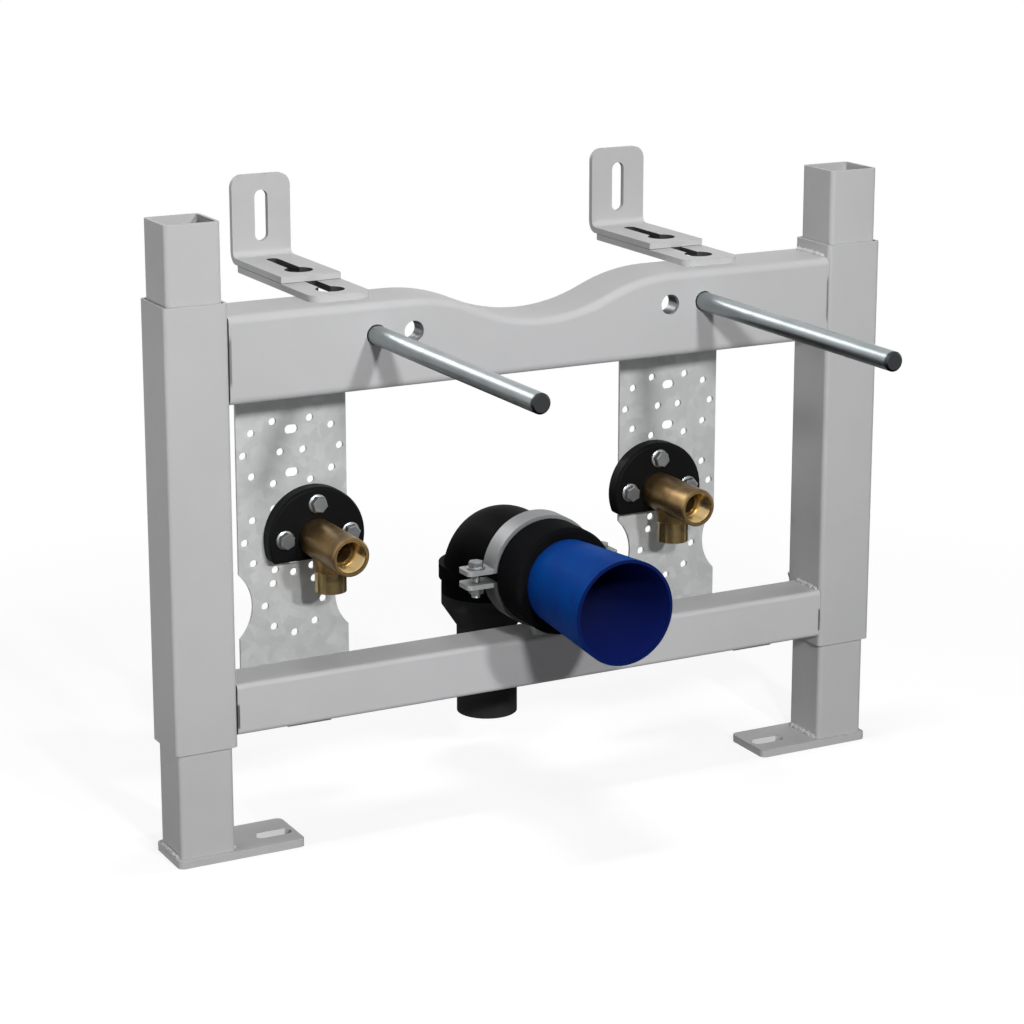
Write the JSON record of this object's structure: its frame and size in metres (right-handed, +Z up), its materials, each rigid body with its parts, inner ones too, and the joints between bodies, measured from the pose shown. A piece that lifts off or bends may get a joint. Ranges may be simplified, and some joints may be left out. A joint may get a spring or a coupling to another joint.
{
  "type": "bidet installation frame",
  "caption": "Floor-standing steel frame for a wall-hung bidet: telescopic legs, beam with threaded studs, brass water elbows on perforated plates and a clamped drain bend.",
  "frame": {"origin": "middle of the bounding box at floor level", "axes": "+Z up, +X to the right seen from the front, -Y towards the front where the studs point"},
  "size_m": [0.5, 0.35, 0.3975],
  "materials": {
    "frame_paint": "satin grey paint",
    "leg_paint": "satin grey paint",
    "bracket_paint": "satin grey paint",
    "galvanised_sheet": "dull galvanised",
    "zinc_steel": "zinc plate",
    "black_plastic": "satin moulded",
    "drain_plastic": "satin pipe",
    "black_rubber": "matt rubber",
    "brass": "dark raw casting, machined ends",
    "blue_plastic": "translucent moulded"
  },
  "bodies": {
    "frame": {"left_sleeve": "frame_paint", "right_sleeve": "frame_paint", "upper_beam": "frame_paint", "stud_nuts": "zinc_steel", "left_stud": "zinc_steel", "right_stud": "zinc_steel", "lower_rail": "frame_paint", "left_bracket_base": "bracket_paint", "right_bracket_base": "bracket_paint", "left_mounting_plate": "galvanised_sheet", "right_mounting_plate": "galvanised_sheet", "left_plate_upper_flange": "galvanised_sheet", "right_plate_upper_flange": "galvanised_sheet", "left_plate_lower_flange": "galvanised_sheet", "right_plate_lower_flange": "galvanised_sheet", "left_elbow_holder": "black_plastic", "right_elbow_holder": "black_plastic", "left_wall_elbow": "brass", "right_wall_elbow": "brass", "drain_reducer": "drain_plastic", "drain_bend": "drain_plastic", "drain_seal": "black_rubber", "protective_cap": "blue_plastic", "clamp_upper_half": "zinc_steel", "clamp_lower_half": "zinc_steel", "clamp_stem": "zinc_steel"},
    "left_leg": {"left_leg": "leg_paint", "left_foot_plate": "leg_paint"},
    "right_leg": {"right_leg": "leg_paint", "right_foot_plate": "leg_paint"},
    "left_wall_bracket": {"left_wall_bracket": "bracket_paint"},
    "right_wall_bracket": {"right_wall_bracket": "bracket_paint"}
  },
  "joints": [
    {"name": "left_leg_slide", "type": "slide", "parent": "frame", "child": "left_leg", "axis": [0, 0, 1], "range_m": [-0.15, 0.06]},
    {"name": "right_leg_slide", "type": "slide", "parent": "frame", "child": "right_leg", "axis": [0, 0, 1], "range_m": [-0.15, 0.06]},
    {"name": "left_bracket_slide", "type": "slide", "parent": "frame", "child": "left_wall_bracket", "axis": [0, 1, 0], "range_m": [0, 0.04]},
    {"name": "right_bracket_slide", "type": "slide", "parent": "frame", "child": "right_wall_bracket", "axis": [0, 1, 0], "range_m": [0, 0.04]}
  ]
}
